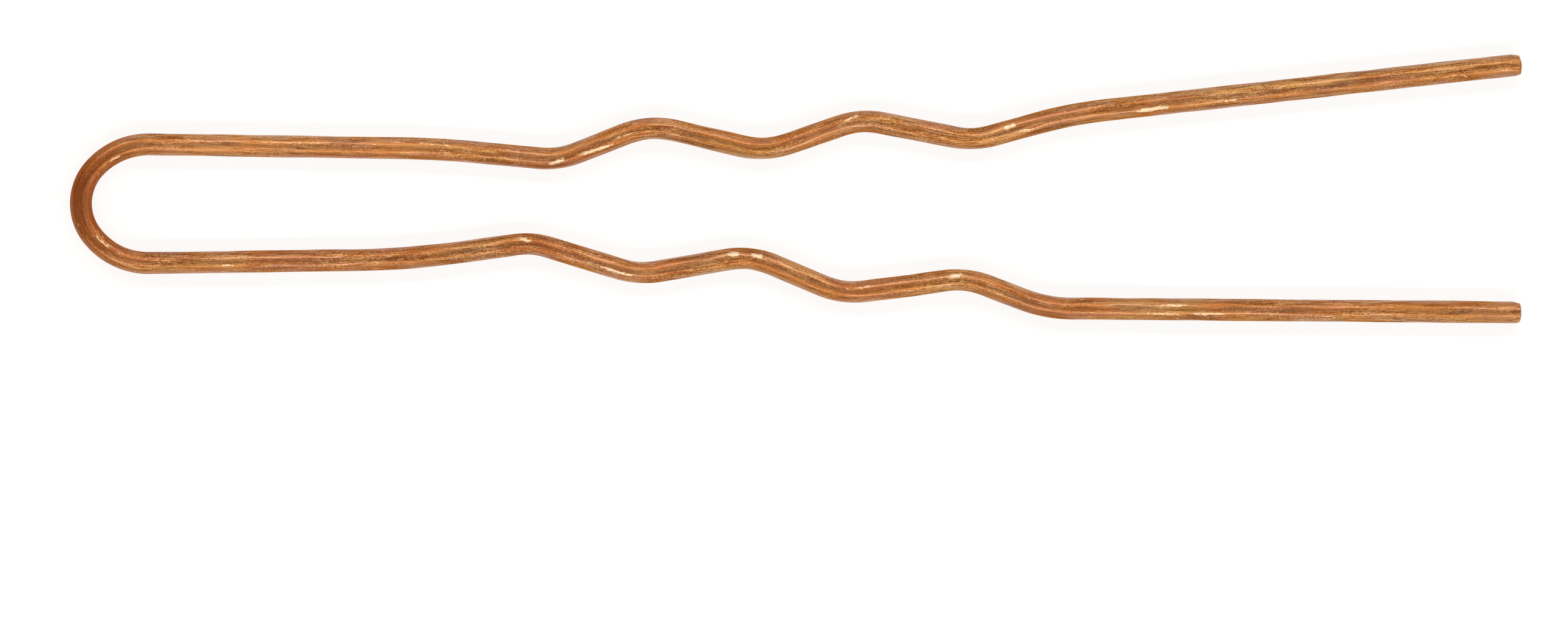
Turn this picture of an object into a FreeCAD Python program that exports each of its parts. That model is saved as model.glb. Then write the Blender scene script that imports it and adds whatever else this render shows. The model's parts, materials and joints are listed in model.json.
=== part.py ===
import FreeCAD, Part
import Sketcher
import math
import os
import re

# Waved hairpin, bent from one length of round spring wire and lying flat on a table.
# The bow is at -X and the two tips are at +X; the table is the plane Z = 0.
# The wire is taken in seven stretches that meet face to face on straight runs, where
# the real wire flexes.  Each leg has a shank, a waved stretch and a prong.

# Millimetres and degrees.  A slope is a run's angle to the pin's long axis, positive
# where the run leads away from that axis on the way from the bow to the tip.
# A waves_reach is how far from the middle of the pin, towards the bow, the waves begin:
# the shanks and the prongs take up the rest of the overall length.
SIZES = {
    "overall_length": 70.0,
    "wire_diameter": 1.06,
    "bow_apex_radius": 2.5,
    "bow_apex_half_angle": 39.5,
    "bow_shoulder_radius": 3.5,
    "bow_stub_length": 1.0,
    "shank_bend_radius": 45.0,
    "wave_bend_radius": 4.3,
    "prong_stub_length": 1.0,
    "tip_taper_length": 0.2,
    "tip_taper_depth": 0.05,
    "tip_dome_height": 0.09,
    "shear_length": 0.45,
    "shear_depth": 0.13,
    "upper_waves_reach": 14.0,
    "upper_shank_slope": -0.9,
    "upper_lead_in_length": 3.1,
    "upper_lead_in_slope": -5.3,
    "upper_flare_1_length": 2.35,
    "upper_flare_1_slope": 21.3,
    "upper_dip_1_length": 3.2,
    "upper_dip_1_slope": -13.0,
    "upper_flare_2_length": 2.5,
    "upper_flare_2_slope": 18.8,
    "upper_dip_2_length": 3.4,
    "upper_dip_2_slope": -10.9,
    "upper_flare_3_length": 2.0,
    "upper_flare_3_slope": 15.4,
    "upper_prong_bend_radius": 23.5,
    "upper_prong_slope": 6.3,
    "lower_waves_reach": 14.65,
    "lower_shank_slope": -0.8,
    "lower_lead_in_length": 1.95,
    "lower_lead_in_slope": -8.2,
    "lower_flare_1_length": 3.45,
    "lower_flare_1_slope": 16.8,
    "lower_dip_1_length": 3.2,
    "lower_dip_1_slope": -9.7,
    "lower_flare_2_length": 2.45,
    "lower_flare_2_slope": 22.6,
    "lower_dip_2_length": 3.75,
    "lower_dip_2_slope": -7.5,
    "lower_flare_3_length": 1.85,
    "lower_flare_3_slope": 20.7,
    "lower_prong_bend_radius": 6.7,
    "lower_prong_slope": 0.5,
}

# The upper leg lies towards +Y and the lower leg towards -Y.
SIDES = {"upper": 1, "lower": -1}
WAVE_RUNS = ("flare_1", "dip_1", "flare_2", "dip_2", "flare_3")
SHOULDER_SLOPE = "(90 - bow_apex_half_angle)"

doc = FreeCAD.newDocument("Hairpin")
sheet = doc.addObject("Spreadsheet::Sheet", "Sizes")


def run(length, slope):
    """A straight run of the wire."""
    return {"length": length, "slope": slope}


def bend(radius, before, after):
    """An arc that takes the wire from one slope to the next."""
    return {"radius": radius, "before": before, "after": after}


def half_bow_steps(leg):
    """From the bow's apex, round one shoulder, to the end of the straight stub beyond it."""
    return [
        bend("bow_apex_radius", "90", SHOULDER_SLOPE),
        bend("bow_shoulder_radius", SHOULDER_SLOPE, f"{leg}_shank_slope"),
        run("bow_stub_length", f"{leg}_shank_slope"),
    ]


def bow_steps():
    """From the end of the upper stub, over the apex, to the end of the lower stub."""
    return [
        run("bow_stub_length", "upper_shank_slope"),
        bend("bow_shoulder_radius", "upper_shank_slope", SHOULDER_SLOPE),
        bend("bow_apex_radius", "-bow_apex_half_angle", "bow_apex_half_angle"),
        bend("bow_shoulder_radius", "lower_shank_slope", SHOULDER_SLOPE),
        run("bow_stub_length", "lower_shank_slope"),
    ]


def shank_steps(leg):
    """The long run beside the bow, and its bend into the first half of the lead-in."""
    return [
        run(f"{leg}_shank_length", f"{leg}_shank_slope"),
        bend("shank_bend_radius", f"{leg}_shank_slope", f"{leg}_lead_in_slope"),
        run(f"{leg}_lead_in_length / 2", f"{leg}_lead_in_slope"),
    ]


def waves_steps(leg):
    """The rest of the lead-in, the waves, and the bend into the first stub of the prong."""
    slope = f"{leg}_lead_in_slope"
    steps = [run(f"{leg}_lead_in_length / 2", slope)]
    for name in WAVE_RUNS:
        steps.append(bend("wave_bend_radius", slope, f"{leg}_{name}_slope"))
        slope = f"{leg}_{name}_slope"
        steps.append(run(f"{leg}_{name}_length", slope))
    steps.append(bend(f"{leg}_prong_bend_radius", slope, f"{leg}_prong_slope"))
    steps.append(run("prong_stub_length", f"{leg}_prong_slope"))
    return steps


def advance(step):
    """How far a step, or the chord of its arc, moves on along the pin and away from its axis."""
    if "length" in step:
        length, slope = step["length"], step["slope"]
    else:
        length = f"2 * {step['radius']} * sin(abs({step['after']} - {step['before']}) / 2)"
        slope = f"({step['before']} + {step['after']}) / 2"
    return f"{length} * cos({slope})", f"{length} * sin({slope})"


def station_cells(leg):
    """Where each stretch of a leg starts, counted from the pin's axis, and what is left for its runs."""
    cells = {}
    x, y = "wire_diameter / 2 - overall_length / 2", "0"
    stretches = {"shank": half_bow_steps(leg), "waves": shank_steps(leg), "prong": waves_steps(leg)}
    for name, steps in stretches.items():
        moves = [advance(step) for step in steps]
        cells[f"{leg}_{name}_x"] = " + ".join([x] + [along for along, away in moves])
        cells[f"{leg}_{name}_y"] = " + ".join([y] + [away for along, away in moves])
        x, y = f"{leg}_{name}_x", f"{leg}_{name}_y"
    lead_in = " - ".join(advance(step)[0] for step in shank_steps(leg)[1:])
    shank = f"-{leg}_waves_reach - {leg}_shank_x - {lead_in}"
    cells[f"{leg}_shank_length"] = f"({shank}) / cos({leg}_shank_slope)"
    cells[f"{leg}_prong_length"] = f"(overall_length / 2 - {x}) / cos({leg}_prong_slope)"
    cells[f"{leg}_tip_y"] = f"{y} + {leg}_prong_length * sin({leg}_prong_slope)"
    return cells


def fill_sheet():
    """The driving sizes, then the formulas for the places that follow from them."""
    cells = {alias: str(value) for alias, value in SIZES.items()}
    formulas = {**station_cells("upper"), **station_cells("lower")}
    # The pin's axis, which the bow is centred on, lies where the two tips straddle Y = 0.
    formulas["axis_y"] = "(lower_tip_y - upper_tip_y) / 2"
    cells.update({alias: f"={formula}" for alias, formula in formulas.items()})
    for row, (alias, text) in enumerate(cells.items(), start=1):
        sheet.set(f"A{row}", alias)
        sheet.set(f"B{row}", text)
        sheet.setAlias(f"B{row}", alias)
    doc.recompute()


def value_of(formula):
    """The present value of a formula of the sheet."""
    return float(sheet.evalExpression(formula))


def bound(formula):
    """A formula of the sheet as another object's expression."""
    return re.sub(r"[a-z]\w*_\w+", r"Sizes.\g<0>", formula)


def vector(x, y):
    """A point or direction in a sketch."""
    return FreeCAD.Vector(x, y, 0)


def heading_vector(angle):
    """The unit vector at an angle to a sketch's X axis."""
    return vector(math.cos(angle), math.sin(angle))


def new_sketch(body, name, role):
    """An empty sketch on one of the body's own origin planes."""
    sketch = body.newObject("Sketcher::SketchObject", f"{body.Label}_{name}")
    plane = next(item for item in body.Origin.OriginFeatures if item.Role == role)
    sketch.AttachmentSupport = [(plane, "")]
    sketch.MapMode = "FlatFace"
    return sketch


def drive(sketch, name, formula, *constraint):
    """Add a dimension under a name and bind it to the sheet."""
    index = sketch.addConstraint(Sketcher.Constraint(*constraint))
    sketch.renameConstraint(index, name)
    sketch.setExpression(f"Constraints.{name}", bound(formula))


def hold(sketch, *constraint):
    """Add a constraint that has no dimension."""
    sketch.addConstraint(Sketcher.Constraint(*constraint))


def lay_run(sketch, number, step, at, heading):
    """Draw a straight run; gives its end, its heading there and its first and last points."""
    end = at + heading_vector(heading) * value_of(step["length"])
    line = sketch.addGeometry(Part.LineSegment(at, end))
    drive(sketch, f"run_{number}", step["length"], "Distance", line, (end - at).Length)
    return end, heading, (line, 1), (line, 2)


def lay_bend(sketch, number, step, at, heading, side):
    """Draw a tangent arc; gives its end, its heading there and its first and last points."""
    radius = value_of(step["radius"])
    turn = side * math.radians(value_of(f"{step['after']} - {step['before']}"))
    quarter = math.copysign(math.pi / 2, turn)
    centre = at + heading_vector(heading + quarter) * radius
    spoke = heading - quarter
    circle = Part.Circle(centre, FreeCAD.Vector(0, 0, 1), radius)
    arc = sketch.addGeometry(Part.ArcOfCircle(circle, *sorted((spoke, spoke + turn))))
    span = f"abs({step['after']} - {step['before']}) * 1deg"
    drive(sketch, f"bend_{number}", step["radius"], "Radius", arc, radius)
    drive(sketch, f"span_{number}", span, "Angle", arc, abs(turn))
    first, last = (1, 2) if turn > 0 else (2, 1)
    return centre + heading_vector(spoke + turn) * radius, heading + turn, (arc, first), (arc, last)


def lay_path(sketch, steps, side):
    """Draw runs and arcs end to end from the sketch's origin, each tangent to the one before."""
    at, heading, before = vector(0, 0), 0.0, None
    for number, step in enumerate(steps):
        if "length" in step:
            at, heading, first, last = lay_run(sketch, number, step, at, heading)
        else:
            at, heading, first, last = lay_bend(sketch, number, step, at, heading, side)
        if before:
            hold(sketch, "Tangent", *before, *first)
        else:
            hold(sketch, "Coincident", *first, -1, 1)
            hold(sketch, "Horizontal", first[0])
        before = last


def new_body(label, x, y, heading):
    """A stretch of wire in its own frame, which starts at its first end face and runs along X."""
    body = doc.addObject("PartDesign::Body", label)
    body.Label = label
    body.setExpression("Placement.Base.x", bound(x))
    body.setExpression("Placement.Base.y", bound(f"axis_y + {y}"))
    body.setExpression("Placement.Base.z", bound("wire_diameter / 2"))
    body.setExpression("Placement.Rotation.Angle", bound(f"({heading}) * 1deg"))
    return body


def sweep_wire(body, steps, side):
    """Carry the wire's round section along a path of runs and arcs."""
    path = new_sketch(body, "path", "XY_Plane")
    lay_path(path, steps, side)
    section = new_sketch(body, "section", "YZ_Plane")
    diameter = value_of("wire_diameter")
    section.addGeometry(Part.Circle(vector(0, 0), FreeCAD.Vector(0, 0, 1), diameter / 2))
    hold(section, "Coincident", 0, 3, -1, 1)
    drive(section, "wire_diameter", "wire_diameter", "Diameter", 0, diameter)
    doc.recompute()
    pipe = body.newObject("PartDesign::AdditivePipe", f"{body.Label}_wire")
    pipe.Profile = section
    pipe.Spine = (path, [f"Edge{number}" for number in range(1, len(steps) + 1)])


def leg_body(leg, name, slope):
    """A body for a stretch of one leg, placed where the stretch before it ends."""
    label, side = f"{leg}_{name}", SIDES[leg]
    return new_body(label, f"{label}_x", f"{side} * {label}_y", f"{side} * {leg}_{slope}_slope")


def make_bow():
    """The round end of the pin."""
    body = new_body("bow", "upper_shank_x", "upper_shank_y", "180 + upper_shank_slope")
    sweep_wire(body, bow_steps(), 1)
    return body


def make_shank(leg):
    """The stretch of a leg beside the bow, nearly straight."""
    body = leg_body(leg, "shank", "shank")
    sweep_wire(body, shank_steps(leg), SIDES[leg])
    return body


def make_waves(leg):
    """The crimped stretch of a leg, which grips the hair."""
    body = leg_body(leg, "waves", "lead_in")
    sweep_wire(body, waves_steps(leg), SIDES[leg])
    return body


def draw_prong_profile(body, leg):
    """Half of the prong's lengthwise section: wire, short taper and domed end, closed on the axis."""
    length, radius = value_of(f"{leg}_prong_length"), value_of("wire_diameter") / 2
    taper, depth = value_of("tip_taper_length"), value_of("tip_taper_depth")
    dome, rim = value_of("tip_dome_height"), radius - depth
    ball = (rim * rim + dome * dome) / (2 * dome)
    root, tip = vector(0, 0), vector(length, 0)
    shoulder, edge = vector(length - dome - taper, radius), vector(length - dome, rim)
    sketch = new_sketch(body, "profile", "XY_Plane")
    sketch.addGeometry(Part.LineSegment(root, vector(0, radius)))
    sketch.addGeometry(Part.LineSegment(vector(0, radius), shoulder))
    sketch.addGeometry(Part.LineSegment(shoulder, edge))
    circle = Part.Circle(vector(length - ball, 0), FreeCAD.Vector(0, 0, 1), ball)
    sketch.addGeometry(Part.ArcOfCircle(circle, 0, math.asin(rim / ball)))
    sketch.addGeometry(Part.LineSegment(tip, root))
    for meeting in ((0, 1, -1, 1), (0, 2, 1, 1), (1, 2, 2, 1), (2, 2, 3, 2), (3, 1, 4, 1), (4, 2, 0, 1)):
        hold(sketch, "Coincident", *meeting)
    hold(sketch, "Vertical", 0)
    hold(sketch, "Horizontal", 1)
    hold(sketch, "Horizontal", 4)
    hold(sketch, "PointOnObject", 3, 3, -1)
    drive(sketch, "wire_radius", "wire_diameter / 2", "DistanceY", 0, 1, 0, 2, radius)
    drive(sketch, "prong_length", f"{leg}_prong_length", "DistanceX", 0, 1, 3, 1, length)
    drive(sketch, "taper_length", "tip_taper_length", "DistanceX", 2, 1, 2, 2, taper)
    drive(sketch, "taper_depth", "tip_taper_depth", "DistanceY", 2, 2, 2, 1, depth)
    drive(sketch, "dome_height", "tip_dome_height", "DistanceX", 2, 2, 3, 1, dome)
    return sketch


def draw_shear_outline(body, leg):
    """The sliver that the cutting blade presses off the tip, on the side that faces +Y."""
    length, radius = value_of(f"{leg}_prong_length"), value_of("wire_diameter") / 2
    reach, depth = value_of("shear_length"), value_of("shear_depth")
    heel, toe, corner = vector(length - reach, radius), vector(length, radius - depth), vector(length, radius)
    sketch = new_sketch(body, "shear", "XY_Plane")
    sketch.addGeometry(Part.LineSegment(heel, toe))
    sketch.addGeometry(Part.LineSegment(toe, corner))
    sketch.addGeometry(Part.LineSegment(corner, heel))
    for meeting in ((0, 2, 1, 1), (1, 2, 2, 1), (2, 2, 0, 1)):
        hold(sketch, "Coincident", *meeting)
    hold(sketch, "Vertical", 1)
    hold(sketch, "Horizontal", 2)
    drive(sketch, "wire_radius", "wire_diameter / 2", "DistanceY", -1, 1, 1, 2, radius)
    drive(sketch, "prong_length", f"{leg}_prong_length", "DistanceX", -1, 1, 1, 2, length)
    drive(sketch, "shear_length", "shear_length", "DistanceX", 2, 2, 2, 1, reach)
    drive(sketch, "shear_depth", "shear_depth", "DistanceY", 1, 1, 1, 2, depth)
    return sketch


def make_prong(leg):
    """The straight end of a leg, with its cut and tumbled tip."""
    body = leg_body(leg, "prong", "prong")
    profile = draw_prong_profile(body, leg)
    turned = body.newObject("PartDesign::Revolution", f"{body.Label}_turned")
    turned.Profile = profile
    turned.ReferenceAxis = (profile, ["H_Axis"])
    doc.recompute()
    shear = body.newObject("PartDesign::Pocket", f"{body.Label}_sheared")
    shear.Profile = draw_shear_outline(body, leg)
    shear.SideType = "Symmetric"
    shear.Type = "ThroughAll"
    return body


def check(bodies):
    """Stop if any object failed or any stretch is not one sound solid."""
    for item in doc.Objects:
        if "Invalid" in item.State or "Error" in item.State:
            raise RuntimeError(f"{item.Label} failed: {item.State}")
    for body in bodies:
        if body.Shape.isNull() or not body.Shape.isValid() or len(body.Shape.Solids) != 1:
            raise RuntimeError(f"{body.Label} is not one sound solid")


fill_sheet()
stretches = [make_bow()]
for leg_name in SIDES:
    stretches += [make_shank(leg_name), make_waves(leg_name), make_prong(leg_name)]
doc.recompute()
check(stretches)
os.makedirs("parts", exist_ok=True)
for stretch in stretches:
    stretch.Shape.exportStep(f"parts/{stretch.Label}.step")
    print(stretch.Label, round(stretch.Shape.Volume, 4), "mm3")
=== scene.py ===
"""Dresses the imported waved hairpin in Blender: worn copper lacquer on drawn wire, on a white studio floor.

The file is laid out as an add-on and is run as a script. Lengths are metres and angles radians.
"""

import json
import math

import bpy
import numpy as np
from bpy.props import FloatProperty, FloatVectorProperty, IntProperty, PointerProperty
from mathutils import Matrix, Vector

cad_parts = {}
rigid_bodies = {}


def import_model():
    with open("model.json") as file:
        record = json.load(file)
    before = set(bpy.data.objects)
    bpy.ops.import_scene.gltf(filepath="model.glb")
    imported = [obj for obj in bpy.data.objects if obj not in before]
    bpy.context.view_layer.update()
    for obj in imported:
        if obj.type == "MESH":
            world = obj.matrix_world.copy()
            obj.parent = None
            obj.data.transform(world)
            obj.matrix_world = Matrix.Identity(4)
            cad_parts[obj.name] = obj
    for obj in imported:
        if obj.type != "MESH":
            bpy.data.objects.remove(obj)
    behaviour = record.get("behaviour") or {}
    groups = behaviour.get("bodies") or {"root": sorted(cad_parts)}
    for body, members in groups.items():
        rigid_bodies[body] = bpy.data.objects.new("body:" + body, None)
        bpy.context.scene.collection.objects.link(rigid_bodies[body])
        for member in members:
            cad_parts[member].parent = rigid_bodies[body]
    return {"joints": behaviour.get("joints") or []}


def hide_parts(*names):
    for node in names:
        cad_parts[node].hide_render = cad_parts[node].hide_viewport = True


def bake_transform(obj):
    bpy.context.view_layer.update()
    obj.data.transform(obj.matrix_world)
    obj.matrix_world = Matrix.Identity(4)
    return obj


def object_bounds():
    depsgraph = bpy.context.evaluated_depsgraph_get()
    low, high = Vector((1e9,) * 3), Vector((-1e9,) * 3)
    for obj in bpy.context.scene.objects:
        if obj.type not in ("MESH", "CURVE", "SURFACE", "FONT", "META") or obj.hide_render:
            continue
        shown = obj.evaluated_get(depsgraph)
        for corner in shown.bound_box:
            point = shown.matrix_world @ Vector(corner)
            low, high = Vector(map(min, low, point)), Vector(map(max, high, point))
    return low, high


bl_info = {
    "name": "Waved hairpin",
    "version": (1, 0, 0),
    "blender": (4, 5, 0),
    "location": "View3D > Sidebar > Hairpin",
    "description": "Builds the wire, the finish and the studio of a waved hairpin around its packed frame",
    "category": "Object",
}

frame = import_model()
CAD_LOW, CAD_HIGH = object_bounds()
MM = 0.001

# The upper leg lies towards +Y and the lower leg towards -Y.
SIDES = {"upper": 1, "lower": -1}
HINGES = {joint["name"]: joint for joint in frame["joints"]}
FINISH_NAME = "Copper lacquer on drawn steel wire"
# Attributes of the wire's surface: its place on the wire before it was bent, in millimetres, where the
# lacquer is rubbed through or painted with glints, where the painted dark reflection lies along the bow's
# middle, and how near the cut face is.
STRAIGHT, SCUFF_AND_GLINT, DARK_REFLECTION, CUT = "straight_wire", "scuff_and_glint", "dark_reflection_line", "cut_end"
# The export bakes the finish through a UV map of this name: rows of unrolled wire with a margin round each.
BAKE_MAP = "OFBake"
BAKE_ROWS = 4
BAKE_MARGIN = 0.02
# How far along the wire, on each side of a hinge, its bend spreads.
BEND_REACH = {"leg_flex": 3.3 * MM, "waves_flex": 7.4 * MM, "prong_flex": 12.0 * MM}

# Painted highlights on the side that faces up: glints of the softboxes, drawn as scuffs rubbed through to
# bright metal. Each gives its distance from the bow's apex in mm, place across the wire (1 is its +Y edge),
# length and width in mm, and slant in degrees.
PAINTED_GLINTS = {
    "upper": (
        (3.0, -0.50, 0.6, 0.12, 0),
        (12.5, 0.35, 2.4, 0.09, 0),
        (15.0, 0.10, 0.9, 0.08, 0),
        (18.4, 0.45, 1.2, 0.10, 0),
        (19.2, 0.40, 0.5, 0.11, -35),
        (24.5, -0.40, 0.8, 0.17, 15),
        (26.4, -0.40, 1.6, 0.15, -5),
        (28.0, -0.10, 1.2, 0.10, 0),
        (39.2, 0.40, 0.9, 0.13, 15),
        (47.0, 0.35, 0.6, 0.20, 5),
        (47.7, -0.35, 0.9, 0.13, -10),
        (54.0, -0.40, 1.5, 0.18, 4),
        (54.2, 0.50, 1.4, 0.08, 0),
        (56.6, 0.45, 1.2, 0.08, 0),
        (57.7, -0.40, 0.9, 0.10, 0),
        (60.3, 0.35, 0.5, 0.11, 20),
        (69.0, -0.45, 0.5, 0.10, -30),
    ),
    "lower": (
        (2.3, 0.35, 0.9, 0.12, 0),
        (8.7, -0.30, 1.4, 0.11, 5),
        (23.0, 0.40, 0.6, 0.15, -20),
        (27.6, -0.35, 1.6, 0.14, 0),
        (33.3, 0.45, 0.5, 0.24, 0),
        (34.4, 0.40, 0.5, 0.22, 0),
        (39.7, 0.35, 1.3, 0.11, 5),
        (44.3, 0.40, 0.6, 0.20, 15),
        (54.6, -0.42, 1.8, 0.11, 0),
        (55.0, 0.35, 1.2, 0.12, 0),
        (56.7, -0.40, 1.6, 0.12, 0),
        (62.4, -0.55, 1.6, 0.08, 0),
    ),
}
# More scuffs lie at random on the half of the wire that faces down.
HIDDEN_SCUFFS = 18


def linear(hex_text):
    """An sRGB colour such as #B87A4A as linear red, green and blue."""
    shares = np.array([int(hex_text[i : i + 2], 16) for i in (1, 3, 5)]) / 255
    return tuple(np.where(shares <= 0.04045, shares / 12.92, ((shares + 0.055) / 1.055) ** 2.4).tolist())


def mm(*lengths):
    """Lengths in millimetres as metres."""
    return tuple(length * MM for length in lengths)


def degrees(*angles):
    """Angles in degrees as radians."""
    return tuple(math.radians(angle) for angle in angles)


class HairpinSizes(bpy.types.PropertyGroup):
    """The wire and its bends. A slope is positive where a run leads away from the pin's long axis."""

    overall_length: FloatProperty(
        name="Overall length", description="From the bow's apex to the tips",
        default=70.0 * MM, unit="LENGTH", precision=5)
    wire_diameter: FloatProperty(
        name="Wire diameter", description="Thickness of the round wire",
        default=CAD_HIGH.z - CAD_LOW.z, unit="LENGTH", precision=5)
    bow_apex_radius: FloatProperty(
        name="Bow apex radius", description="Bend of the wire at the middle of the bow",
        default=2.5 * MM, unit="LENGTH", precision=5)
    bow_apex_half_angle: FloatProperty(
        name="Bow apex half angle", description="Turn of the apex bend on each side of the middle",
        default=math.radians(39.5), unit="ROTATION")
    bow_shoulder_radius: FloatProperty(
        name="Bow shoulder radius", description="Bend of the wire on each side of the apex",
        default=3.5 * MM, unit="LENGTH", precision=5)
    shank_bend_radius: FloatProperty(
        name="Shank bend radius", description="Slight bend at the end of the shank",
        default=45.0 * MM, unit="LENGTH", precision=5)
    wave_bend_radius: FloatProperty(
        name="Wave bend radius", description="Bend of the wire at each crest and trough",
        default=4.3 * MM, unit="LENGTH", precision=5)
    prong_bend_radii: FloatVectorProperty(
        name="Prong bend radii", description="Bend into the prong, upper leg and lower leg",
        size=2, default=mm(23.5, 6.7), unit="LENGTH", precision=5)
    upper_runs: FloatVectorProperty(
        name="Upper runs", description="Straight runs of the upper waves: lead-in, flares and dips",
        size=6, default=mm(3.1, 2.35, 3.2, 2.5, 3.4, 2.0), unit="LENGTH", precision=5)
    upper_slopes: FloatVectorProperty(
        name="Upper slopes", description="Slopes of the upper shank, lead-in, flares and dips, and prong",
        size=8, unit="ROTATION",
        default=degrees(-0.9, -5.3, 21.3, -13.0, 18.8, -10.9, 15.4, 6.3))
    lower_runs: FloatVectorProperty(
        name="Lower runs", description="Straight runs of the lower waves: lead-in, flares and dips",
        size=6, default=mm(1.95, 3.45, 3.2, 2.45, 3.75, 1.85), unit="LENGTH", precision=5)
    lower_slopes: FloatVectorProperty(
        name="Lower slopes", description="Slopes of the lower shank, lead-in, flares and dips, and prong",
        size=8, unit="ROTATION",
        default=degrees(-0.8, -8.2, 16.8, -9.7, 22.6, -7.5, 20.7, 0.5))
    tip_taper_length: FloatProperty(
        name="Tip taper length", description="Length of the tumbled taper behind the domed end",
        default=0.2 * MM, unit="LENGTH", precision=5)
    tip_taper_depth: FloatProperty(
        name="Tip taper depth", description="How far the taper draws the wire's radius in",
        default=0.05 * MM, unit="LENGTH", precision=5)
    tip_dome_height: FloatProperty(
        name="Tip dome height", description="How far the cut face bulges",
        default=0.09 * MM, unit="LENGTH", precision=5)
    shear_length: FloatProperty(
        name="Shear length", description="Length of the flat that the cutting blade pressed",
        default=0.45 * MM, unit="LENGTH", precision=5)
    shear_depth: FloatProperty(
        name="Shear depth", description="Depth of that flat at the end of the wire",
        default=0.13 * MM, unit="LENGTH", precision=5)
    crimp_dent: FloatProperty(
        name="Crimp dent", description="Depth of the die's mark on the inside of each wave's bend",
        default=0.03 * MM, unit="LENGTH", precision=6)
    ring_step: FloatProperty(
        name="Ring step", description="Spacing of the mesh along the wire",
        default=0.05 * MM, unit="LENGTH", precision=6)
    ring_points: IntProperty(
        name="Ring points", description="Points of the mesh round the wire", default=84, min=12)


class HairpinFinish(bpy.types.PropertyGroup):
    """The colours of the worn copper lacquer, and of the painted shade, dark reflection and glints on it."""

    copper: FloatVectorProperty(
        name="Copper", description="The lacquer where it is whole",
        subtype="COLOR", size=3, default=linear("#BE783E"))
    brown: FloatVectorProperty(
        name="Brown", description="Die lines in which the lacquer lies thick",
        subtype="COLOR", size=3, default=linear("#8A4E22"))
    tan: FloatVectorProperty(
        name="Tan", description="Ridges of the die lines, where the lacquer is thin",
        subtype="COLOR", size=3, default=linear("#DCAE74"))
    pale: FloatVectorProperty(
        name="Pale", description="Paler lacquer on the upper shank",
        subtype="COLOR", size=3, default=linear("#E0A060"))
    olive: FloatVectorProperty(
        name="Olive", description="Tarnished patches",
        subtype="COLOR", size=3, default=linear("#B6884E"))
    rust: FloatVectorProperty(
        name="Rust", description="Reddish patches",
        subtype="COLOR", size=3, default=linear("#B4683A"))
    # Painted shade: the bow's middle is darkened for the dimmer room towards its end, on top of its thicker
    # lacquer.
    bow_brown_and_shade: FloatVectorProperty(
        name="Bow brown and shade", description="The bow's middle: thickest lacquer, darkened further as painted shade",
        subtype="COLOR", size=3, default=linear("#98460F"))
    # Painted highlights: this pale colour paints glints as spots and flecks on the top of the wire, and bare
    # metal in the scuffs underneath.
    bright: FloatVectorProperty(
        name="Glints and bright metal", description="Painted glints, and scuffs where the lacquer is rubbed through",
        subtype="COLOR", size=3, default=linear("#EFD3B4"))
    # Painted dark reflection: besides the dirt in pits, this colour paints the reflection of the dark room
    # overhead along the top of the bow's middle.
    speck_and_reflection: FloatVectorProperty(
        name="Speck and dark reflection", description="Dirt in pits of the lacquer, and the painted dark reflection along the bow's middle",
        subtype="COLOR", size=3, default=linear("#5A3114"))
    cut_face: FloatVectorProperty(
        name="Cut face", description="The sheared end of the wire",
        subtype="COLOR", size=3, default=linear("#B0642F"))


class HairpinStage(bpy.types.PropertyGroup):
    """The studio: a white floor, two long softboxes and a camera straight above."""

    view_width: FloatProperty(
        name="View width", description="Width of floor that the camera takes in",
        default=75.61 * MM, unit="LENGTH", precision=5)
    view_centre: FloatVectorProperty(
        name="View centre", description="Point of the floor below the camera",
        size=2, default=mm(-0.565, -6.256), unit="LENGTH", precision=5)
    lens: FloatProperty(
        name="Lens", description="Focal length of the camera in millimetres", default=200.0)
    softbox_tilt: FloatProperty(
        name="Softbox tilt", description="Angle of each softbox from straight overhead",
        default=math.radians(42.0), unit="ROTATION")
    softbox_distance: FloatProperty(
        name="Softbox distance", description="From the pin to each softbox", default=0.6, unit="LENGTH")
    softbox_size: FloatVectorProperty(
        name="Softbox size", description="Length along the pin and width of each softbox",
        size=2, default=(1.4, 0.06), unit="LENGTH")
    softbox_radiance: FloatProperty(
        name="Softbox radiance", description="Brightness of a softbox, where 1 is a white surface",
        default=8.6)
    softbox_colour: FloatVectorProperty(
        name="Softbox colour", description="Colour of the softboxes' light",
        subtype="COLOR", size=3, default=linear("#FFF2DF"))
    room_light: FloatProperty(
        name="Room light", description="Brightness of the room round the pin, where 1 is white",
        default=0.8)
    floor_glow: FloatProperty(
        name="Floor glow", description="Share of the floor's white that takes no shadow",
        default=0.8, subtype="FACTOR", min=0.0, max=1.0)


class HairpinSettings(bpy.types.PropertyGroup):
    """Everything about the hairpin that a user would change."""

    sizes: PointerProperty(name="Sizes", description="The wire and its bends", type=HairpinSizes)
    finish: PointerProperty(name="Finish", description="The colours of the lacquer", type=HairpinFinish)
    stage: PointerProperty(name="Stage", description="The floor, the light and the camera", type=HairpinStage)


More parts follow.
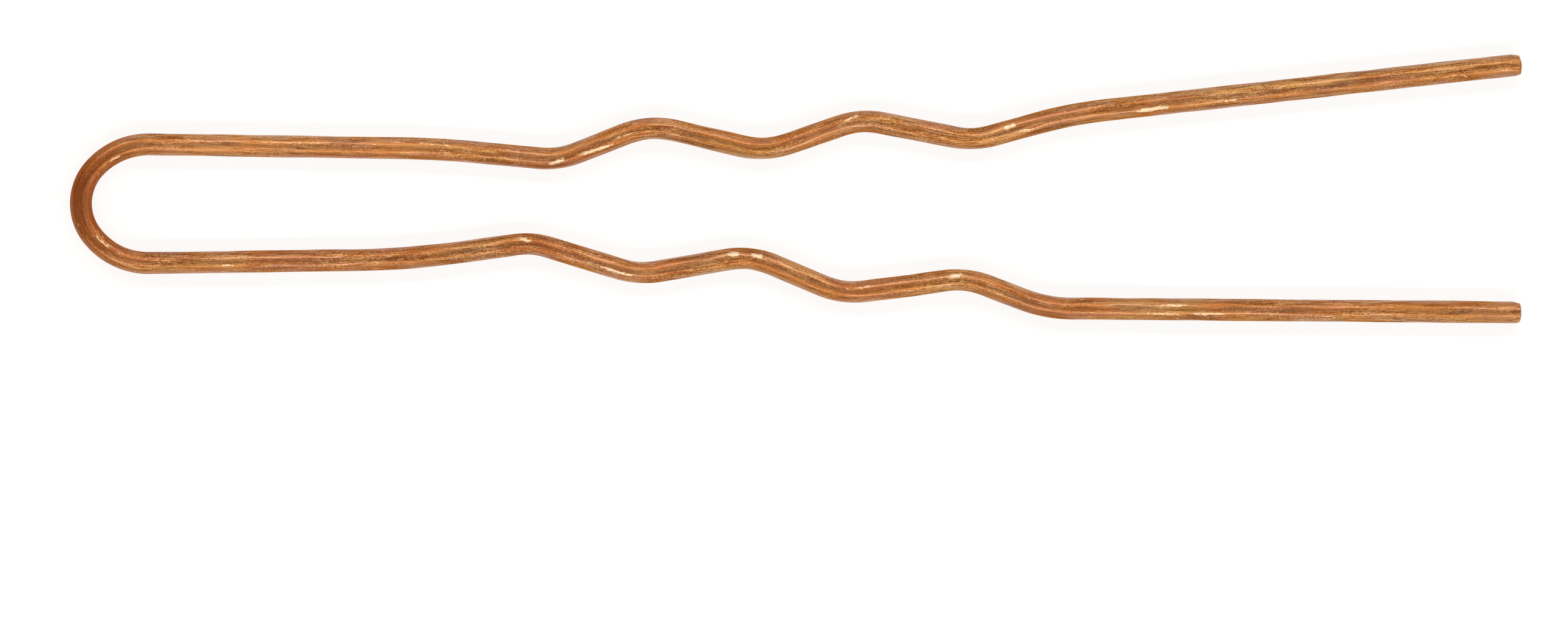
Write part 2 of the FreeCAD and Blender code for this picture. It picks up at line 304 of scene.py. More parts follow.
class LegPath:
    """The centreline of one leg from the bow's apex to its tip.

    Bends and straight runs take turns. Each has a length L, a heading h at its start and a
    curvature k, so a distance d on, the heading is h + k d, and the place is the chord
    d sin(k d / 2) / (k d / 2) at the heading h + k d / 2. Headings turn away from the pin's axis.
    """

    def __init__(self, sizes, leg):
        self.leg = leg
        self.side = SIDES[leg]
        self.axis_y = 0.0
        slopes = np.array(getattr(sizes, f"{leg}_slopes"))
        headings = np.concatenate([[math.pi / 2, math.pi / 2 - sizes.bow_apex_half_angle], slopes])
        wave_runs = np.array(getattr(sizes, f"{leg}_runs"))
        waves = [sizes.wave_bend_radius] * (len(wave_runs) - 1)
        prong_bend = sizes.prong_bend_radii[list(SIDES).index(leg)]
        bow = [sizes.bow_apex_radius, sizes.bow_shoulder_radius]
        radii = np.array([*bow, sizes.shank_bend_radius, *waves, prong_bend])
        turns = np.diff(headings)
        self.heading = np.column_stack([headings[:-1], headings[1:]]).ravel()
        self.curvature = np.column_stack([np.sign(turns) / radii, np.zeros(len(turns))]).ravel()
        # No run lies between the apex and the shoulder; the shank and the prong fill what is left.
        runs = np.concatenate([[0.0, 0.0], wave_runs, [0.0]])
        lengths = np.column_stack([radii * np.abs(turns), runs]).ravel()
        shank, lead_in, prong = 3, 5, len(lengths) - 1
        start = sizes.wire_diameter / 2 - sizes.overall_length / 2
        waves_x = HINGES[f"{leg}_waves_flex"]["pos_m"][0]
        advance = self.moves(lengths)[:, 0]
        before_waves = advance[:lead_in].sum() + advance[lead_in] / 2
        lengths[shank] = (waves_x - start - before_waves) / math.cos(self.heading[shank])
        before_tip = self.moves(lengths)[:, 0].sum()
        lengths[prong] = (sizes.overall_length / 2 - start - before_tip) / math.cos(self.heading[prong])
        ends = np.cumsum(self.moves(lengths), axis=0)
        self.place = np.concatenate([[[0.0, 0.0]], ends[:-1]]) + [start, 0.0]
        self.start = np.concatenate([[0.0], np.cumsum(lengths)[:-1]])
        self.length = lengths.sum()
        self.tip_away = ends[-1, 1]
        first_crimp = 6
        crimps = slice(first_crimp, first_crimp + 2 * len(waves), 2)
        self.crimp_at = (self.start + lengths / 2)[crimps]
        self.crimp_turn = np.sign(self.curvature[crimps])

    def moves(self, lengths):
        """How far each step moves along the pin and away from its axis: the chord of its arc."""
        half_turn = self.curvature * lengths / 2
        chord = lengths * np.sinc(half_turn / np.pi)
        angle = self.heading + half_turn
        return np.column_stack([chord * np.cos(angle), chord * np.sin(angle)])

    def at(self, along):
        """The centreline's points in the pin's plane, and unit vectors there that point out of the bow."""
        step = np.searchsorted(self.start, along, side="right") - 1
        into = along - self.start[step]
        half_turn = self.curvature[step] * into / 2
        angle = self.heading[step] + half_turn
        chord = into * np.sinc(half_turn / np.pi)
        x = self.place[step, 0] + chord * np.cos(angle)
        y = self.axis_y + self.side * (self.place[step, 1] + chord * np.sin(angle))
        heading = angle + half_turn
        return np.column_stack([x, y]), np.column_stack([-np.sin(heading), self.side * np.cos(heading)])

    def hinge(self, name):
        """How far along the wire a hinge of the frame is; the wire has to pass through it."""
        trials, first_share, tolerance = 20001, 0.02, 0.01 * MM
        along = np.linspace(self.length * first_share, self.length, trials)
        target = np.array(HINGES[f"{self.leg}_{name}"]["pos_m"][:2])
        gaps = np.linalg.norm(self.at(along)[0] - target, axis=1)
        if gaps.min() > tolerance:
            raise RuntimeError(f"the {self.leg} leg misses its hinge {name} by {gaps.min() / MM:.3f} mm")
        return along[gaps.argmin()]


def leg_paths(sizes):
    """Both centrelines, with the bow placed so that the two tips straddle Y = 0 evenly."""
    paths = {leg: LegPath(sizes, leg) for leg in SIDES}
    for path in paths.values():
        path.axis_y = (paths["lower"].tip_away - paths["upper"].tip_away) / 2
    return paths


def soft_min(first, second, softness):
    """The lower of two values, rounded where they cross."""
    return (first + second - np.sqrt((first - second) ** 2 + softness**2)) / 2


def tip_radius(sizes, left):
    """The wire's radius at a distance from its cut end: a domed face, a short taper, then the full wire.

    The dome is a parabola, radius = rim sqrt(distance / height), and meets the taper in a worn edge.
    """
    radius = sizes.wire_diameter / 2
    rim = radius - sizes.tip_taper_depth
    dome = rim * np.sqrt(left / sizes.tip_dome_height)
    share = np.clip((left - sizes.tip_dome_height) / sizes.tip_taper_length, 0.0, 1.0)
    worn_edge = 0.02 * MM
    return soft_min(dome, radius - sizes.tip_taper_depth * (1 - share), worn_edge)


def crimp_dents(sizes, path, along, out):
    """Depth of the crimping dies' marks: a bell curve along the wire, on the inside of each bend.

    out is the cosine round the wire, 1 on the side that points out of the bow.
    """
    reach = 0.75 * MM
    bell = np.exp(-(((along[:, None] - path.crimp_at) / reach) ** 2))
    inside = np.clip(out[:, None] * path.crimp_turn, 0.0, 1.0) ** 2
    return sizes.crimp_dent * bell @ inside.T


def unevenness(sizes, signed_along, angle):
    """How far the drawn wire departs from a true round: a sum of seeded waves along and round it.

    Every wave tilts the surface by the same small angle, so its height is that tilt over its wave number.
    Most of them are long flutes that the die left, and they make the lines of light on the wire waver.
    """
    rng = np.random.default_rng(5)
    waves, tilt = 40, 0.010
    shortest, spread = 2.5 * MM, 5
    fewest_lobes, most_lobes = 3, 9
    along_rate = 2 * np.pi / (shortest * spread ** rng.random(waves))
    lobes = rng.integers(fewest_lobes, most_lobes + 1, waves)
    phase = rng.random(waves) * 2 * np.pi
    height = tilt / np.hypot(along_rate, lobes / (sizes.wire_diameter / 2))
    turned = signed_along[:, None] * along_rate + phase
    first = np.cos(turned) * height @ np.cos(lobes[:, None] * angle)
    second = np.sin(turned) * height @ np.sin(lobes[:, None] * angle)
    return first + second


def scuff_and_glint(sizes, path, along, angle):
    """How far the lacquer is rubbed through, 0 to 1: a slanted bell curve on the wire for each scuff. The
    listed ones on top are painted glints, and those underneath are wear.
    """
    radius = sizes.wire_diameter / 2
    at, across, length, width, slant = np.array(PAINTED_GLINTS[path.leg]).T
    # The angle round the wire starts at the side that points out of the bow, and the top is a quarter turn.
    round_to = np.arccos(across * path.side)
    # The scuffs underneath are drawn at random: places, lengths and widths in millimetres, slants in degrees.
    rng = np.random.default_rng(11 + path.side)
    at = np.concatenate([at, rng.uniform(2, path.length / MM - 1, HIDDEN_SCUFFS)]) * MM
    round_to = np.concatenate([round_to, rng.uniform(-np.pi, 0, HIDDEN_SCUFFS)])
    length = np.concatenate([length, rng.uniform(0.4, 2.2, HIDDEN_SCUFFS)]) * MM
    width = np.concatenate([width, rng.uniform(0.08, 0.2, HIDDEN_SCUFFS)]) * MM
    slant = np.radians(np.concatenate([slant, rng.uniform(-15, 15, HIDDEN_SCUFFS)]))
    ahead = along[:, None, None] - at
    turn = (angle[:, None] - round_to + np.pi) % (2 * np.pi) - np.pi
    aside = -path.side * radius * turn
    lengthwise = (ahead * np.cos(slant) + aside * np.sin(slant)) / (length / 2)
    crosswise = (aside * np.cos(slant) - ahead * np.sin(slant)) / (width / 2)
    # A broad scuff is rubbed deeper, and a broad glint painted brighter, than a narrow one.
    broad, shallowest = 0.15 * MM, 0.6
    deep = np.clip(width / broad, shallowest, 1.0)
    return (deep * np.exp(-0.5 * (lengthwise**4 + crosswise**2))).max(axis=2)


def dark_reflection_line(along, aside, rise):
    """How strong the painted dark reflection on top of the bow's middle is, 0 to 1: painted shade for the
    dark room overhead.

    It is a bell curve across the wire, whole near the apex and fading out along the wire.
    """
    off_middle, width = 0.06 * MM, 0.10 * MM
    fades_by, fade = 2.56 * MM, 1.6 * MM
    across = np.exp(-(((aside + off_middle) / width) ** 2)) * (rise > 0)
    return across * np.clip((fades_by - along) / fade, 0, 1)[:, None]


def ring_stations(sizes, path, start, end):
    """Where a stretch's rings stand along the wire, and their radii.

    A stretch ends in a flat cap at a seam, and in a domed face at a tip.
    """
    radius = sizes.wire_diameter / 2
    at_tip = math.isclose(end, path.length)
    tip_zone = sizes.tip_dome_height + sizes.tip_taper_length
    last = end - tip_zone if at_tip else end
    along = np.linspace(start, last, math.ceil((last - start) / sizes.ring_step) + 1)
    # A flat cap has two rings inside its rim.
    cap = np.array([0.35, 0.7]) * radius
    if at_tip:
        tip_rings = 14
        left = tip_zone * np.linspace(1, 0, tip_rings + 2)[1:-1] ** 2
        end_along, end_radii = end - left, tip_radius(sizes, left)
    else:
        end_along, end_radii = np.full(len(cap), end), cap[::-1]
    stations = np.concatenate([np.full(len(cap), start), along, end_along])
    return stations, np.concatenate([cap, np.full(len(along), radius), end_radii])


def wire_surface(sizes, path, along, ring_radius, angle):
    """The wire's surface: a ring's point is its centre + r (cos a * out + sin a * up), with a once round.

    Gives the points, and their place out of the bow and up from the wire's middle.
    """
    radius = sizes.wire_diameter / 2
    out, up = np.cos(angle), np.sin(angle)
    departs = unevenness(sizes, path.side * along, angle) - crimp_dents(sizes, path, along, out)
    thick = ring_radius[:, None] * (1 + departs / radius)
    aside, rise = thick * out, thick * up
    # The blade pressed a flat on the side of both tips that faces +Y.
    into = (along - (path.length - sizes.shear_length)) / sizes.shear_length
    flat = radius - sizes.shear_depth * into
    worn_edge = 0.015 * MM
    aside = path.side * soft_min(path.side * aside, flat[:, None], worn_edge)
    centre, outward = path.at(along)
    points = np.empty((*thick.shape, 3))
    points[..., :2] = centre[:, None] + aside[..., None] * outward[:, None]
    points[..., 2] = np.maximum(radius + rise, 0.0)
    return points, aside, rise


def tube_faces(rings, points):
    """Corners of the quads between rings, and of the fans that close the two ends at their poles."""
    column = np.arange(points)
    beside = (column + 1) % points
    row = np.arange(rings - 1)[:, None] * points
    quads = np.stack([row + column, row + beside, row + points + beside, row + points + column], axis=-1)
    first_pole, last_pole = rings * points, rings * points + 1
    last_row = (rings - 1) * points
    first_fan = np.column_stack([beside, column, np.full(points, first_pole)])
    last_fan = np.column_stack([last_row + column, last_row + beside, np.full(points, last_pole)])
    return quads.reshape(-1, 4), first_fan, last_fan


def bake_corners(profile, rings, points):
    """Places of the faces' corners on the bake's map: the unrolled wire, cut into rows.

    profile is the distance along the surface of the first pole, each ring and the last pole.
    """
    inside = 1 - 2 * BAKE_MARGIN
    share = profile / profile[-1] * BAKE_ROWS
    column = np.arange(points)[None, :, None]
    # Corners of a quad in turn: this ring, this ring's next point, the next ring's next point, the next ring.
    ring_ahead, point_ahead = np.array([0, 0, 1, 1]), np.array([0, 1, 1, 0])
    first = np.arange(rings - 1)[:, None, None] + 1
    row = np.minimum(np.floor(share[first]), BAKE_ROWS - 1)
    along = share[first + ring_ahead] - row
    around = (column + point_ahead) / points
    up = (row + BAKE_MARGIN + inside * around) / BAKE_ROWS
    quads = np.stack(np.broadcast_arrays(along, up), axis=-1)
    fans = []
    flat = np.arange(points)
    for pole, ring, ahead, row in ((0, 1, (1, 0), 0), (rings + 1, rings, (0, 1), BAKE_ROWS - 1)):
        u = np.tile([share[ring] - row, share[ring] - row, share[pole] - row], (points, 1))
        v = (flat[:, None] + [*ahead, 0.5]) / points
        fans.append(np.stack([u, (row + BAKE_MARGIN + inside * v) / BAKE_ROWS], axis=-1).reshape(-1, 2))
    corners = np.concatenate([quads.reshape(-1, 2), *fans])
    return corners * [inside, 1.0] + [BAKE_MARGIN, 0.0]


def wire_object(sizes, path, name, start, end):
    """One stretch of the wire as a closed mesh: rings along the centreline, with a pole at each end."""
    radius = sizes.wire_diameter / 2
    along, ring_radius = ring_stations(sizes, path, start, end)
    rings, points = len(along), sizes.ring_points
    # Rings start underneath. On the lower leg they go round the other way, so that all faces point outwards.
    angle = path.side * np.arange(points) * 2 * np.pi / points - np.pi / 2
    surface, aside, rise = wire_surface(sizes, path, along, ring_radius, angle)
    ends = np.array([start, end])
    poles = np.column_stack([path.at(ends)[0], [radius, radius]])
    # Near the tips the blade dragged the die lines aside.
    drag, drag_reach = 0.16 * MM, 1.1 * MM
    dragged = drag * np.clip(1 - (path.length - along) / drag_reach, 0, 1) ** 2
    straight = np.stack([np.broadcast_to(path.side * along[:, None], aside.shape),
                         aside + dragged[:, None], rise + dragged[:, None]], axis=-1)
    straight_poles = np.column_stack([path.side * ends, [0, 0], [0, 0]])
    cut_zone = sizes.tip_dome_height + sizes.tip_taper_length
    cut = np.clip(1 - (path.length - along) / cut_zone, 0, 1)
    pole_cut = np.clip(1 - (path.length - ends) / cut_zone, 0, 1)

    quads, first_fan, last_fan = tube_faces(rings, points)
    corners = np.concatenate([quads.ravel(), first_fan.ravel(), last_fan.ravel()])
    face_sizes = np.concatenate([np.full(len(quads), 4), np.full(len(first_fan) + len(last_fan), 3)])
    steps = np.hypot(np.diff(along), np.diff(ring_radius))
    profile = np.cumsum([0, ring_radius[0], *steps, ring_radius[-1]])

    mesh = bpy.data.meshes.new(name)
    mesh.vertices.add(rings * points + 2)
    mesh.vertices.foreach_set("co", np.concatenate([surface.reshape(-1, 3), poles]).ravel())
    mesh.loops.add(len(corners))
    mesh.loops.foreach_set("vertex_index", corners.astype(np.int32))
    mesh.polygons.add(len(face_sizes))
    mesh.polygons.foreach_set("loop_start", np.cumsum([0, *face_sizes[:-1]]).astype(np.int32))
    mesh.update(calc_edges=True)
    places = np.concatenate([straight.reshape(-1, 3), straight_poles]) / MM
    mesh.attributes.new(STRAIGHT, "FLOAT_VECTOR", "POINT").data.foreach_set("vector", places.ravel())
    # The scuffs, with the painted glints on the top of the wire.
    worn = np.append(scuff_and_glint(sizes, path, along, angle), [0, 0])
    mesh.attributes.new(SCUFF_AND_GLINT, "FLOAT", "POINT").data.foreach_set("value", worn)
    # The painted dark reflection along the top of the bow's middle.
    dirty = np.append(dark_reflection_line(along, aside, rise), [0, 0])
    mesh.attributes.new(DARK_REFLECTION, "FLOAT", "POINT").data.foreach_set("value", dirty)
    cuts = np.append(np.repeat(cut, points), pole_cut)
    mesh.attributes.new(CUT, "FLOAT", "POINT").data.foreach_set("value", cuts)
    baked = bake_corners(profile, rings, points)
    mesh.uv_layers.new(name=BAKE_MAP).uv.foreach_set("vector", baked.ravel())
    sharpest = math.radians(50)
    mesh.set_sharp_from_angle(angle=sharpest)
    piece = bpy.data.objects.new(name, mesh)
    bpy.context.scene.collection.objects.link(piece)
    return piece


def dress(piece, finish):
    """Gives a piece the wire's finish."""
    lacquer = bpy.data.materials.get(FINISH_NAME) or copper_lacquer(finish)
    piece.data.materials.append(lacquer)


def flex(piece, path, hinge):
    """Works out the reach of wire on each side of one hinge of the frame, sets the piece's placement into its
    mesh, and hides the frame's two parts at that hinge; the piece is not bent.
    """
    joint = HINGES[f"{path.leg}_{hinge}"]
    middle, reach = path.hinge(hinge), BEND_REACH[hinge]
    ends = path.at(np.array([middle - reach, middle + reach]))[0]
    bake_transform(piece)
    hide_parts(joint["parent"], joint["child"])


def add(tree, kind, inputs=None, **settings):
    """Adds a node, applies its settings, and links or fills its inputs by name or number."""
    node = tree.nodes.new(kind)
    for name, value in settings.items():
        setattr(node, name, value)
    for key, value in (inputs or {}).items():
        if isinstance(value, bpy.types.NodeSocket):
            tree.links.new(value, node.inputs[key])
        else:
            node.inputs[key].default_value = value
    return node


# Patterns on the straight wire: spacing along and across it in millimetres, detail, and an offset that keeps
# them apart. Real die lines are some micrometres apart; here it is 0.065 mm, about the finest that shows.
PATTERNS = {
    "die lines": (0.9, 0.065, 3.0, 11.0),
    "grain": (0.11, 0.05, 2.0, 23.0),
    "calm": (3.5, 0.70, 1.0, 211.0),
    "thick": (2.2, 0.22, 3.0, 37.0),
    "tarnish": (5.0, 0.80, 3.0, 71.0),
    "rust": (4.5, 0.70, 3.0, 97.0),
    # Painted glints: short pale flecks along the wire.
    "glint flecks": (0.40, 0.06, 2.0, 53.0),
    "chips": (0.18, 0.06, 3.0, 59.0),
    # Painted glints: thin light lines along the wire.
    "glint lines": (2.2, 0.07, 1.0, 151.0),
    "specks": (0.22, 0.11, 1.0, 131.0),
    "reflection breaks": (0.5, 0.12, 2.0, 197.0),
    "gloss": (2.6, 0.35, 1.0, 173.0),
}
# Marks with ragged edges, because the lacquer breaks along the wire's texture: scuffs with their painted
# glints, the painted dark reflection along the bow's middle, and the cut face. For each, the attribute that
# places the mark, and the pattern that it is added to with MARK_DEPTH.
MARKS = {"scuffs and glints": (SCUFF_AND_GLINT, "chips"), "dark reflection": (DARK_REFLECTION, "reflection breaks"), "shear": (CUT, "grain")}
MARK_DEPTH = 0.55
# Layers of the finish from the bottom up: a pattern or mark, its value where the layer begins and where it is
# at its most, how far it covers then, and its colour.
LAYERS = (
    ("tarnish", 0.50, 0.64, 0.55, "olive"),
    ("tarnish", 0.46, 0.32, 0.50, "brown"),
    ("rust", 0.50, 0.62, 0.65, "rust"),
    ("rust", 0.46, 0.34, 0.50, "tan"),
    ("from apex", 28.0, 6.0, 0.35, "rust"),
    ("from apex", 35.0, 60.0, 0.15, "olive"),
    ("from pale stretch", 9.0, 5.0, 0.35, "pale"),
    ("thick", 0.53, 0.66, 0.80, "brown"),
    ("lines", 0.50, 0.37, 0.85, "brown"),
    ("lines", 0.50, 0.63, 0.80, "tan"),
    # Painted glints: thin tan lines along the wire.
    ("glint lines", 0.68, 0.80, 0.75, "tan"),
    # Painted shade: the bow's middle darkened brown, besides its thicker lacquer.
    ("from apex", 4.5, 1.2, 0.65, "bow_brown_and_shade"),
    # Painted glints: short pale flecks.
    ("glint flecks", 0.68, 0.75, 0.85, "bright"),
    ("specks", 0.70, 0.82, 0.80, "speck_and_reflection"),
    # Painted dark reflection along the top of the bow's middle.
    ("dark reflection", 0.92, 1.08, 0.70, "speck_and_reflection"),
    # Scuffs rubbed through to bright metal; the listed ones on top are painted glints of the softboxes.
    ("scuffs and glints", 0.70, 0.88, 0.60, "tan"),
    ("scuffs and glints", 0.85, 0.90, 1.00, "bright"),
    ("shear", 0.88, 1.05, 0.90, "cut_face"),
)
# Middle of the paler stretch, in millimetres from the apex along the upper leg.
PALE_STRETCH = 12.0
# Inputs of a Mix node: its factor, the two numbers and the two colours that it mixes; and its colour output.
FACTOR, NUMBER_A, NUMBER_B, COLOUR_A, COLOUR_B = 0, 2, 3, 6, 7
MIXED_COLOUR = 2


def copper_lacquer(finish):
    """Copper-coloured lacquer on drawn steel wire, worn by handling.

    Satin copper with fine lines along the wire, browner where the lacquer lies thick between the die's ridges
    and paler on top, under a clear gloss that carries thin wavering lines of light. It is tarnished olive in
    patches, thick and dull round the bow, and rubbed through to bright metal in scuffs. Round the bow's
    middle it is darkened further as painted shade, with a painted dark reflection along its top, and painted
    glints lie on it as pale flecks, thin lines and spots on the side that faces up.
    """
    material = bpy.data.materials.new(FINISH_NAME)
    material.use_nodes = True
    tree = material.node_tree
    tree.nodes.clear()
    straight = add(tree, "ShaderNodeAttribute", attribute_name=STRAIGHT).outputs["Vector"]
    value = {}
    for name, (along, across, detail, offset) in PATTERNS.items():
        stretch = (1 / along, 1 / across, 1 / across)
        mapped = add(tree, "ShaderNodeMapping",
                     {"Vector": straight, "Location": (offset, offset, 0), "Scale": stretch})
        noise = add(tree, "ShaderNodeTexNoise", {"Vector": mapped.outputs[0], "Scale": 1.0, "Detail": detail})
        value[name] = noise.outputs["Fac"]
    for name, (attribute, breaks) in MARKS.items():
        mark = add(tree, "ShaderNodeAttribute", attribute_name=attribute)
        ragged = add(tree, "ShaderNodeMath", {0: mark.outputs["Fac"], 1: MARK_DEPTH, 2: value[breaks]},
                     operation="MULTIPLY_ADD")
        value[name] = ragged.outputs[0]
    # The lines are strong in some places and calm in others.
    even = add(tree, "ShaderNodeMix",
               {FACTOR: 0.5, NUMBER_A: value["die lines"], NUMBER_B: value["grain"]})
    strong = add(tree, "ShaderNodeMapRange",
                 {"Value": value["calm"], "From Min": 0.35, "From Max": 0.65, "To Min": 0.35, "To Max": 1.5})
    lines = add(tree, "ShaderNodeMix",
                {FACTOR: strong.outputs[0], NUMBER_A: 0.5, NUMBER_B: even.outputs[0]}, clamp_factor=False)
    value["lines"] = lines.outputs[0]
    # Round the bow the lacquer ran together and lies thick, and its middle is darkened further as painted
    # shade.
    place = add(tree, "ShaderNodeSeparateXYZ", {0: straight})
    from_apex = add(tree, "ShaderNodeMath", {0: place.outputs["X"]}, operation="ABSOLUTE")
    value["from apex"] = from_apex.outputs[0]
    # The upper shank is paler than the rest.
    ahead = add(tree, "ShaderNodeMath", {0: place.outputs["X"], 1: PALE_STRETCH}, operation="SUBTRACT")
    from_pale = add(tree, "ShaderNodeMath", {0: ahead.outputs[0]}, operation="ABSOLUTE")
    value["from pale stretch"] = from_pale.outputs[0]

    colour = (*finish.copper, 1)
    for name, begins, at_most, covers, tint in LAYERS:
        share = add(tree, "ShaderNodeMapRange",
                    {"Value": value[name], "From Min": begins, "From Max": at_most, "To Max": covers})
        mixed = {FACTOR: share.outputs[0], COLOUR_A: colour, COLOUR_B: (*getattr(finish, tint), 1)}
        colour = add(tree, "ShaderNodeMix", mixed, data_type="RGBA").outputs[MIXED_COLOUR]
    # The gloss is dull round the bow and worn off in places, so its lines of light come and go.
    dull = add(tree, "ShaderNodeMapRange",
               {"Value": value["from apex"], "From Min": 1.0, "From Max": 6.0, "To Min": 0.35, "To Max": 1.0})
    gloss = add(tree, "ShaderNodeMapRange",
                {"Value": value["gloss"], "From Min": 0.42, "From Max": 0.58, "To Min": 0.1,
                 "To Max": dull.outputs[0]})
    relief = add(tree, "ShaderNodeBump", {"Strength": 1.0, "Distance": 0.012 * MM, "Height": value["lines"]})
    surface = add(tree, "ShaderNodeBsdfPrincipled", {
        "Base Color": colour, "Metallic": 1.0, "Roughness": 0.5, "Normal": relief.outputs[0],
        "Coat Weight": gloss.outputs[0], "Coat Roughness": 0.13, "Specular Tint": (*linear("#D4A878"), 1)})
    add(tree, "ShaderNodeOutputMaterial", {"Surface": surface.outputs[0]})
    return material


def white_floor(glow):
    """Matt white acrylic sheet: most of its white is even, and the rest takes the pin's soft shadow."""
    material = bpy.data.materials.new("Matt white acrylic sheet")
    material.use_nodes = True
    tree = material.node_tree
    tree.nodes.clear()
    path = add(tree, "ShaderNodeLightPath")
    seen = add(tree, "ShaderNodeMath", {0: path.outputs["Is Camera Ray"], 1: path.outputs["Is Glossy Ray"]},
               operation="MAXIMUM")
    seen = add(tree, "ShaderNodeMath", {0: seen.outputs[0], 1: path.outputs["Is Transmission Ray"]},
               operation="MAXIMUM")
    even = add(tree, "ShaderNodeMath", {0: seen.outputs[0], 1: glow}, operation="MULTIPLY")
    white = add(tree, "ShaderNodeEmission", {"Strength": even.outputs[0]})
    # The lamps light the sheet to a little less than white, so its own colour is a little more than the rest.
    lift = 1.25
    share = lift * (1 - glow)
    matt = add(tree, "ShaderNodeBsdfDiffuse", {"Color": (share, share, share, 1)})
    both = add(tree, "ShaderNodeAddShader", {0: matt.outputs[0], 1: white.outputs[0]})
    add(tree, "ShaderNodeOutputMaterial", {"Surface": both.outputs[0]})
    return material


def room(level):
    """A pale room, darker straight overhead, where the camera hangs, and towards the bow's end of the pin."""
    world = bpy.data.worlds.new("room")
    world.use_nodes = True
    tree = world.node_tree
    tree.nodes.clear()
    direction = add(tree, "ShaderNodeTexCoord").outputs["Generated"]
    axes = add(tree, "ShaderNodeSeparateXYZ", {0: direction})
    overhead_share, bow_end_share = 0.62, 0.45
    overhead = add(tree, "ShaderNodeMapRange",
                   {"Value": axes.outputs["Z"], "From Min": 0.15, "From Max": 0.95, "To Min": level,
                    "To Max": overhead_share * level}, interpolation_type="SMOOTHSTEP")
    bow_end = add(tree, "ShaderNodeMapRange",
                  {"Value": axes.outputs["X"], "From Min": -0.7, "From Max": 0.3, "To Min": bow_end_share},
                  interpolation_type="SMOOTHSTEP")
    strength = add(tree, "ShaderNodeMath", {0: overhead.outputs[0], 1: bow_end.outputs[0]},
                   operation="MULTIPLY")
    light = add(tree, "ShaderNodeBackground", {"Color": (1, 1, 1, 1), "Strength": strength.outputs[0]})
    add(tree, "ShaderNodeOutputWorld", {"Surface": light.outputs[0]})
    return world


class HAIRPIN_OT_bow(bpy.types.Operator):
    """Make both halves of the bow, each with the first half of its shank"""

    bl_idname = "hairpin.make_bow"
    bl_label = "Make bow"

    def execute(self, context):
        settings = context.scene.hairpin
        for leg, path in leg_paths(settings.sizes).items():
            seam = (path.hinge("leg_flex") + path.hinge("waves_flex")) / 2
            piece = wire_object(settings.sizes, path, f"{leg}_bow_half", 0.0, seam)
            dress(piece, settings.finish)
            flex(piece, path, "leg_flex")
        return {"FINISHED"}


class HAIRPIN_OT_waves(bpy.types.Operator):
    """Make the crimped middle of both legs"""

    bl_idname = "hairpin.make_waves"
    bl_label = "Make waves"

    def execute(self, context):
        settings = context.scene.hairpin
        for leg, path in leg_paths(settings.sizes).items():
            hinges = [path.hinge(name) for name in ("leg_flex", "waves_flex", "prong_flex")]
            start, end = (hinges[0] + hinges[1]) / 2, (hinges[1] + hinges[2]) / 2
            piece = wire_object(settings.sizes, path, f"{leg}_crimped_leg", start, end)
            dress(piece, settings.finish)
            flex(piece, path, "waves_flex")
        return {"FINISHED"}


class HAIRPIN_OT_prongs(bpy.types.Operator):
    """Make the last waves and the prong of both legs"""

    bl_idname = "hairpin.make_prongs"
    bl_label = "Make prongs"

    def execute(self, context):
        settings = context.scene.hairpin
        for leg, path in leg_paths(settings.sizes).items():
            seam = (path.hinge("waves_flex") + path.hinge("prong_flex")) / 2
            piece = wire_object(settings.sizes, path, f"{leg}_prong_leg", seam, path.length)
            dress(piece, settings.finish)
            flex(piece, path, "prong_flex")
        return {"FINISHED"}


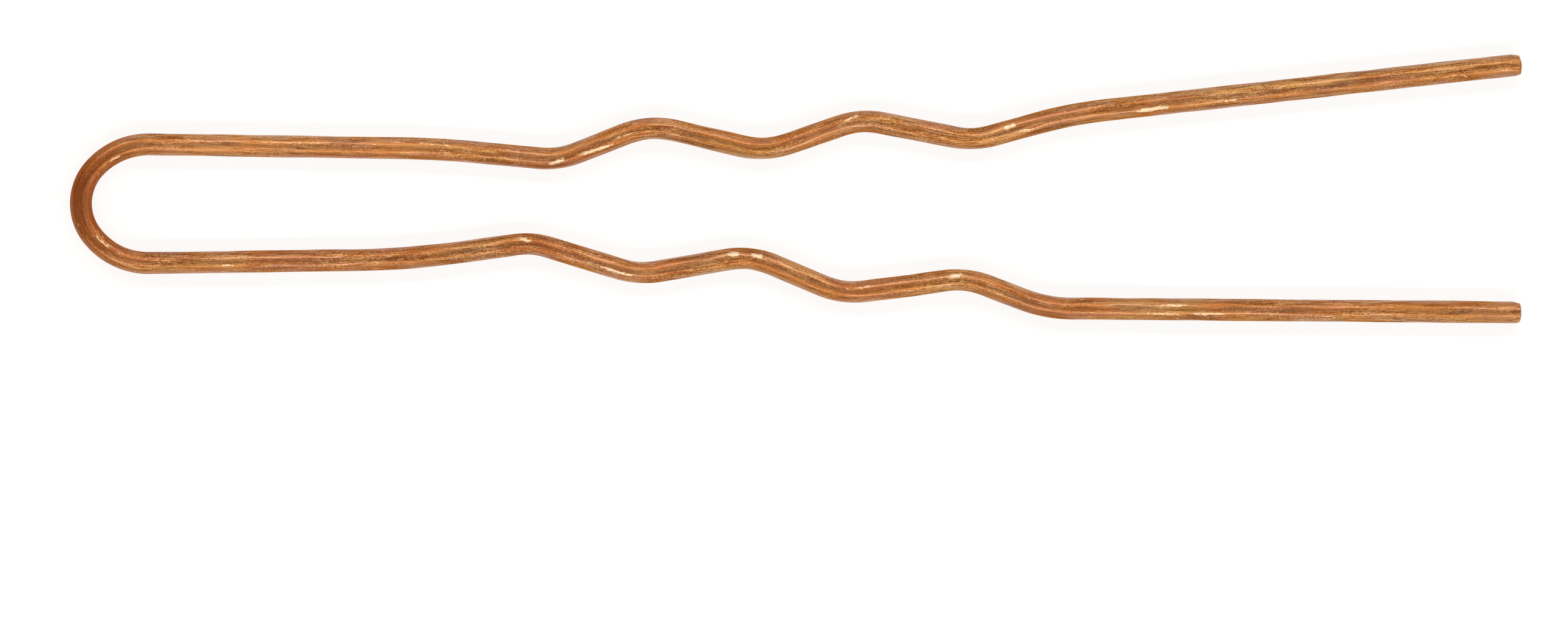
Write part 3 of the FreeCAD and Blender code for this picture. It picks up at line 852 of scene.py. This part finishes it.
class HAIRPIN_OT_stage(bpy.types.Operator):
    """Make the white floor, the two softboxes, the room's light and the camera"""

    bl_idname = "hairpin.make_stage"
    bl_label = "Make stage"

    def execute(self, context):
        stage = context.scene.hairpin.stage
        self.make_floor(context, stage)
        self.make_light(context, stage)
        self.make_camera(context, stage)
        context.scene.view_settings.view_transform = "Standard"
        return {"FINISHED"}

    def make_floor(self, context, stage):
        """A wide flat square that the pin lies on."""
        half = 10.0
        mesh = bpy.data.meshes.new("floor")
        corners = [(-half, -half, 0), (half, -half, 0), (half, half, 0), (-half, half, 0)]
        mesh.from_pydata(corners, [], [(0, 1, 2, 3)])
        floor = bpy.data.objects.new("floor", mesh)
        floor.data.materials.append(white_floor(stage.floor_glow))
        context.scene.collection.objects.link(floor)

    def make_light(self, context, stage):
        """A long softbox on each side of the pin, in a dimmer room."""
        length, width = stage.softbox_size
        for leg, side in SIDES.items():
            light = bpy.data.lights.new(f"{leg}_softbox", "AREA")
            light.shape = "RECTANGLE"
            light.color = stage.softbox_colour
            light.size, light.size_y = length, width
            light.energy = stage.softbox_radiance * math.pi * length * width
            softbox = bpy.data.objects.new(light.name, light)
            tilt, away = side * stage.softbox_tilt, stage.softbox_distance
            softbox.location = (0, away * math.sin(tilt), away * math.cos(tilt))
            softbox.rotation_euler = (-tilt, 0, 0)
            softbox.visible_camera = False
            context.scene.collection.objects.link(softbox)
        context.scene.world = room(stage.room_light)

    def make_camera(self, context, stage):
        """A long lens straight above, placed so that its picture is view_width wide at the wire's height."""
        data = bpy.data.cameras.new("camera")
        data.lens = stage.lens
        data.sensor_fit = "HORIZONTAL"
        camera = bpy.data.objects.new("camera", data)
        middle = context.scene.hairpin.sizes.wire_diameter / 2
        camera.location = (*stage.view_centre, middle + stage.view_width * data.lens / data.sensor_width)
        context.scene.collection.objects.link(camera)
        context.scene.camera = camera


OPERATORS = (HAIRPIN_OT_bow, HAIRPIN_OT_waves, HAIRPIN_OT_prongs, HAIRPIN_OT_stage)
GROUPS = (HairpinSizes, HairpinFinish, HairpinStage, HairpinSettings)


class HAIRPIN_PT_panel(bpy.types.Panel):
    """The hairpin's operators and everything that can be changed about it"""

    bl_label = "Waved hairpin"
    bl_idname = "HAIRPIN_PT_panel"
    bl_space_type = "VIEW_3D"
    bl_region_type = "UI"
    bl_category = "Hairpin"

    def draw(self, context):
        for operator in OPERATORS:
            self.layout.operator(operator.bl_idname)
        settings = context.scene.hairpin
        for group in (settings.sizes, settings.finish, settings.stage):
            box = self.layout.box()
            for name in group.__annotations__:
                box.prop(group, name)


def register():
    """Makes the add-on's classes and settings known to Blender."""
    for cls in (*GROUPS, *OPERATORS, HAIRPIN_PT_panel):
        bpy.utils.register_class(cls)
    bpy.types.Scene.hairpin = PointerProperty(type=HairpinSettings)


def unregister():
    """Takes them away again."""
    del bpy.types.Scene.hairpin
    for cls in reversed((*GROUPS, *OPERATORS, HAIRPIN_PT_panel)):
        bpy.utils.unregister_class(cls)


def main():
    """Builds the hairpin and its stage."""
    register()
    bpy.ops.hairpin.make_bow()
    bpy.ops.hairpin.make_waves()
    bpy.ops.hairpin.make_prongs()
    bpy.ops.hairpin.make_stage()


if __name__ == "__main__":
    main()
